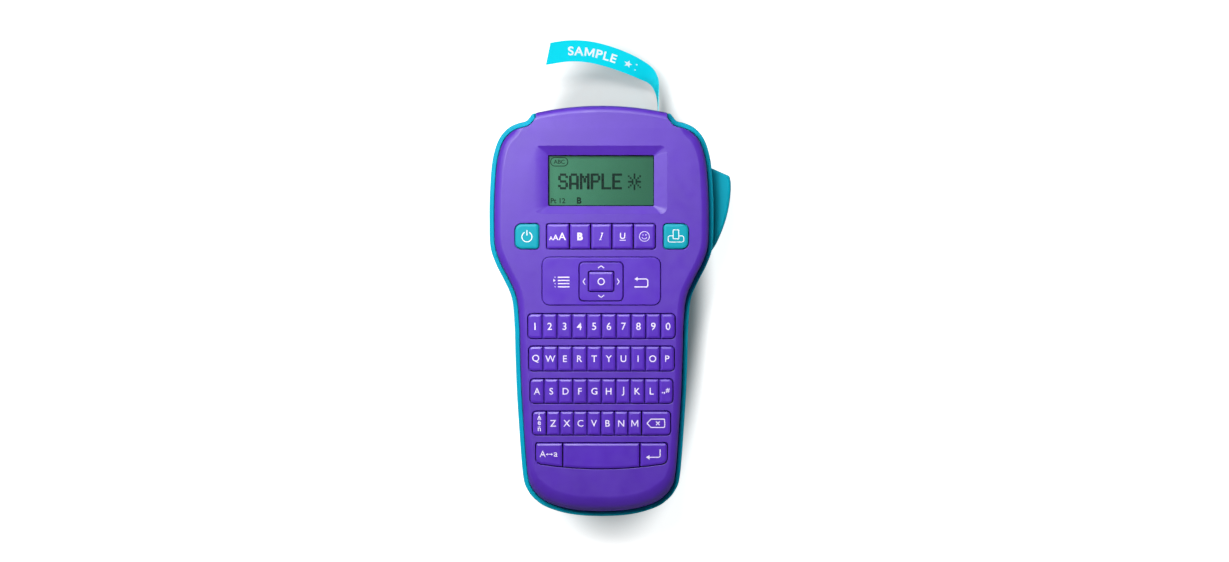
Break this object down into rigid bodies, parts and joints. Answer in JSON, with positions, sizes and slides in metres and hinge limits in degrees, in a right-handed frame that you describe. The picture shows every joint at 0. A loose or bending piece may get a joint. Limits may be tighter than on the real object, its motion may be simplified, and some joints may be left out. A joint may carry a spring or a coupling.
{
  "type": "handheld label maker",
  "caption": "Handheld electronic label maker with a letter keyboard, display, four-way pad, side cutter lever, tape cassette and a printed label leaving its top.",
  "frame": {"origin": "on the flat back, on the centre line, halfway between the housing's lower and upper ends", "axes": "+Z out of the back towards the face, +Y towards the end where the label comes out, +X to the right of the face"},
  "size_m": [0.1204, 0.2381, 0.0463],
  "materials": {
    "violet_plastic": "fine moulded texture, satin",
    "teal_plastic": "smooth satin",
    "key_teal": "semi-gloss",
    "clear_window": "clear, polished",
    "lcd_green": "green-grey liquid crystal behind a polariser",
    "board_green": "solder mask",
    "grey_rubber": "matt silicone",
    "black_rubber": "matt",
    "steel": "plated",
    "white_nylon": "moulded",
    "dark_plastic": "fine texture",
    "cyan_tape": "laminated tape",
    "ribbon_black": "wound ribbon film",
    "cell_jacket": "printed jacket"
  },
  "bodies": {
    "housing": {"rear_housing": "teal_plastic", "front_cover": "violet_plastic", "display_window": "clear_window", "lcd_panel": "lcd_green", "main_board": "board_green", "keypad_mat": "grey_rubber", "mechanism_plate": "dark_plastic", "print_head": "dark_plastic", "feed_motor": "steel", "cutter_spring": "steel", "lever_pin": "steel", "cassette_case": "dark_plastic", "tape_web": "cyan_tape", "battery_contact_lower": "steel", "battery_contact_upper": "steel", "battery_1": "cell_jacket", "battery_2": "cell_jacket", "battery_3": "cell_jacket", "battery_4": "cell_jacket", "battery_5": "cell_jacket", "battery_6": "cell_jacket", "case_screw_1": "steel", "case_screw_2": "steel", "case_screw_3": "steel", "case_screw_4": "steel", "case_screw_5": "steel", "case_screw_6": "steel"},
    "cassette_door": {"cassette_door": "teal_plastic"},
    "battery_door": {"battery_door": "teal_plastic"},
    "cutter_lever": {"cutter_lever": "teal_plastic", "cutter_blade": "steel"},
    "platen": {"platen_roller": "black_rubber", "platen_gear": "white_nylon"},
    "idler_gear": {"idler_gear": "white_nylon"},
    "motor_pinion": {"motor_pinion": "steel"},
    "ribbon_drive": {"ribbon_spindle": "white_nylon", "ribbon_takeup_spool": "ribbon_black"},
    "ribbon_supply": {"ribbon_supply_spool": "ribbon_black"},
    "tape_roll": {"tape_roll": "cyan_tape"},
    "printed_label": {"printed_label": "cyan_tape"},
    "menu_back_rocker": {"menu_back_rocker": "violet_plastic"},
    "nav_pivot": {"nav_pivot": "white_nylon"},
    "nav_pad": {"nav_pad": "violet_plastic"},
    "key_power": {"key_power": "key_teal"},
    "key_print": {"key_print": "key_teal"},
    "key_size": {"key_size": "violet_plastic"},
    "key_bold": {"key_bold": "violet_plastic"},
    "key_italic": {"key_italic": "violet_plastic"},
    "key_underline": {"key_underline": "violet_plastic"},
    "key_symbols": {"key_symbols": "violet_plastic"},
    "key_ok": {"key_ok": "violet_plastic"},
    "row_digits": {"row_digits": "violet_plastic"},
    "row_qwerty": {"row_qwerty": "violet_plastic"},
    "row_asdf": {"row_asdf": "violet_plastic"},
    "row_zxcv": {"row_zxcv": "violet_plastic"},
    "key_accent": {"key_accent": "violet_plastic"},
    "key_backspace": {"key_backspace": "violet_plastic"},
    "key_case": {"key_case": "violet_plastic"},
    "key_space": {"key_space": "violet_plastic"},
    "key_return": {"key_return": "violet_plastic"}
  },
  "joints": [
    {"name": "key_power_press", "type": "slide", "parent": "housing", "child": "key_power", "axis": [0, 0.0523, -0.9986], "range_m": [0, 0.001], "stiffness_N_per_m": 350},
    {"name": "key_print_press", "type": "slide", "parent": "housing", "child": "key_print", "axis": [0, 0.0523, -0.9986], "range_m": [0, 0.001], "stiffness_N_per_m": 350},
    {"name": "key_size_press", "type": "slide", "parent": "housing", "child": "key_size", "axis": [0, 0.0523, -0.9986], "range_m": [0, 0.001], "stiffness_N_per_m": 350},
    {"name": "key_bold_press", "type": "slide", "parent": "housing", "child": "key_bold", "axis": [0, 0.0523, -0.9986], "range_m": [0, 0.001], "stiffness_N_per_m": 350},
    {"name": "key_italic_press", "type": "slide", "parent": "housing", "child": "key_italic", "axis": [0, 0.0523, -0.9986], "range_m": [0, 0.001], "stiffness_N_per_m": 350},
    {"name": "key_underline_press", "type": "slide", "parent": "housing", "child": "key_underline", "axis": [0, 0.0523, -0.9986], "range_m": [0, 0.001], "stiffness_N_per_m": 350},
    {"name": "key_symbols_press", "type": "slide", "parent": "housing", "child": "key_symbols", "axis": [0, 0.0523, -0.9986], "range_m": [0, 0.001], "stiffness_N_per_m": 350},
    {"name": "key_ok_press", "type": "slide", "parent": "housing", "child": "key_ok", "axis": [0, 0.0523, -0.9986], "range_m": [0, 0.001], "stiffness_N_per_m": 350},
    {"name": "row_digits_press", "type": "slide", "parent": "housing", "child": "row_digits", "axis": [0, 0.0523, -0.9986], "range_m": [0, 0.001], "stiffness_N_per_m": 500},
    {"name": "row_qwerty_press", "type": "slide", "parent": "housing", "child": "row_qwerty", "axis": [0, 0.0523, -0.9986], "range_m": [0, 0.001], "stiffness_N_per_m": 500},
    {"name": "row_asdf_press", "type": "slide", "parent": "housing", "child": "row_asdf", "axis": [0, 0.0523, -0.9986], "range_m": [0, 0.001], "stiffness_N_per_m": 500},
    {"name": "row_zxcv_press", "type": "slide", "parent": "housing", "child": "row_zxcv", "axis": [0, 0.0523, -0.9986], "range_m": [0, 0.001], "stiffness_N_per_m": 500},
    {"name": "key_accent_press", "type": "slide", "parent": "housing", "child": "key_accent", "axis": [0, 0.0523, -0.9986], "range_m": [0, 0.001], "stiffness_N_per_m": 350},
    {"name": "key_backspace_press", "type": "slide", "parent": "housing", "child": "key_backspace", "axis": [0, 0.0523, -0.9986], "range_m": [0, 0.001], "stiffness_N_per_m": 350},
    {"name": "key_case_press", "type": "slide", "parent": "housing", "child": "key_case", "axis": [0, 0.0523, -0.9986], "range_m": [0, 0.001], "stiffness_N_per_m": 350},
    {"name": "key_space_press", "type": "slide", "parent": "housing", "child": "key_space", "axis": [0, 0.0523, -0.9986], "range_m": [0, 0.001], "stiffness_N_per_m": 500},
    {"name": "key_return_press", "type": "slide", "parent": "housing", "child": "key_return", "axis": [0, 0.0523, -0.9986], "range_m": [0, 0.001], "stiffness_N_per_m": 350},
    {"name": "menu_back_rock", "type": "hinge", "parent": "housing", "child": "menu_back_rocker", "pos_m": [-0.00017, 0.01478, 0.04115], "axis": [0, 0.9986, 0.0523], "range_deg": [-1.5, 1.5], "stiffness_Nm_per_rad": 0.8},
    {"name": "nav_tilt_up_down", "type": "hinge", "parent": "housing", "child": "nav_pivot", "pos_m": [-0.00017, 0.01458, 0.04113], "axis": [1, 0, 0], "range_deg": [-2.5, 2.5], "stiffness_Nm_per_rad": 0.2},
    {"name": "nav_tilt_left_right", "type": "hinge", "parent": "nav_pivot", "child": "nav_pad", "pos_m": [-0.00017, 0.01458, 0.04113], "axis": [0, 0.9986, 0.0523], "range_deg": [-2.5, 2.5], "stiffness_Nm_per_rad": 0.2},
    {"name": "cutter_squeeze", "type": "hinge", "parent": "housing", "child": "cutter_lever", "pos_m": [0.04, 0.0245, 0.016], "axis": [0, 0, 1], "range_deg": [0, 7.5], "stiffness_Nm_per_rad": 1, "springref_deg": -2.86},
    {"name": "cassette_door_open", "type": "hinge", "parent": "housing", "child": "cassette_door", "pos_m": [0, 0.0071, 0.0004], "axis": [-1, 0, 0], "range_deg": [0, 100]},
    {"name": "battery_door_open", "type": "hinge", "parent": "housing", "child": "battery_door", "pos_m": [0, -0.0802, 0.0004], "axis": [-1, 0, 0], "range_deg": [0, 100]},
    {"name": "platen_spin", "type": "hinge", "parent": "housing", "child": "platen", "pos_m": [0.0323, 0.0775, 0], "axis": [0, 0, 1], "continuous": true},
    {"name": "idler_spin", "type": "hinge", "parent": "housing", "child": "idler_gear", "pos_m": [0.01635, 0.08031, 0], "axis": [0, 0, 1], "continuous": true},
    {"name": "pinion_spin", "type": "hinge", "parent": "housing", "child": "motor_pinion", "pos_m": [0.00435, 0.08031, 0], "axis": [0, 0, 1], "continuous": true},
    {"name": "ribbon_drive_spin", "type": "hinge", "parent": "housing", "child": "ribbon_drive", "pos_m": [0.01122, 0.06622, 0], "axis": [0, 0, 1], "continuous": true},
    {"name": "ribbon_supply_spin", "type": "hinge", "parent": "housing", "child": "ribbon_supply", "pos_m": [-0.008, 0.0555, 0], "axis": [0, 0, 1], "continuous": true},
    {"name": "tape_roll_spin", "type": "hinge", "parent": "housing", "child": "tape_roll", "pos_m": [0.01195, 0.0315, 0], "axis": [0, 0, 1], "continuous": true},
    {"name": "label_pull", "type": "slide", "parent": "housing", "child": "printed_label", "axis": [0, 1, 0], "range_m": [0, 0.011]}
  ],
  "couplings": [
    {"joint": "idler_spin", "follows": "platen_spin", "ratio": -0.8},
    {"joint": "pinion_spin", "follows": "platen_spin", "ratio": 2.4},
    {"joint": "ribbon_drive_spin", "follows": "platen_spin", "ratio": 1.2},
    {"joint": "ribbon_supply_spin", "follows": "platen_spin", "ratio": -0.5},
    {"joint": "tape_roll_spin", "follows": "platen_spin", "ratio": -0.21605}
  ]
}
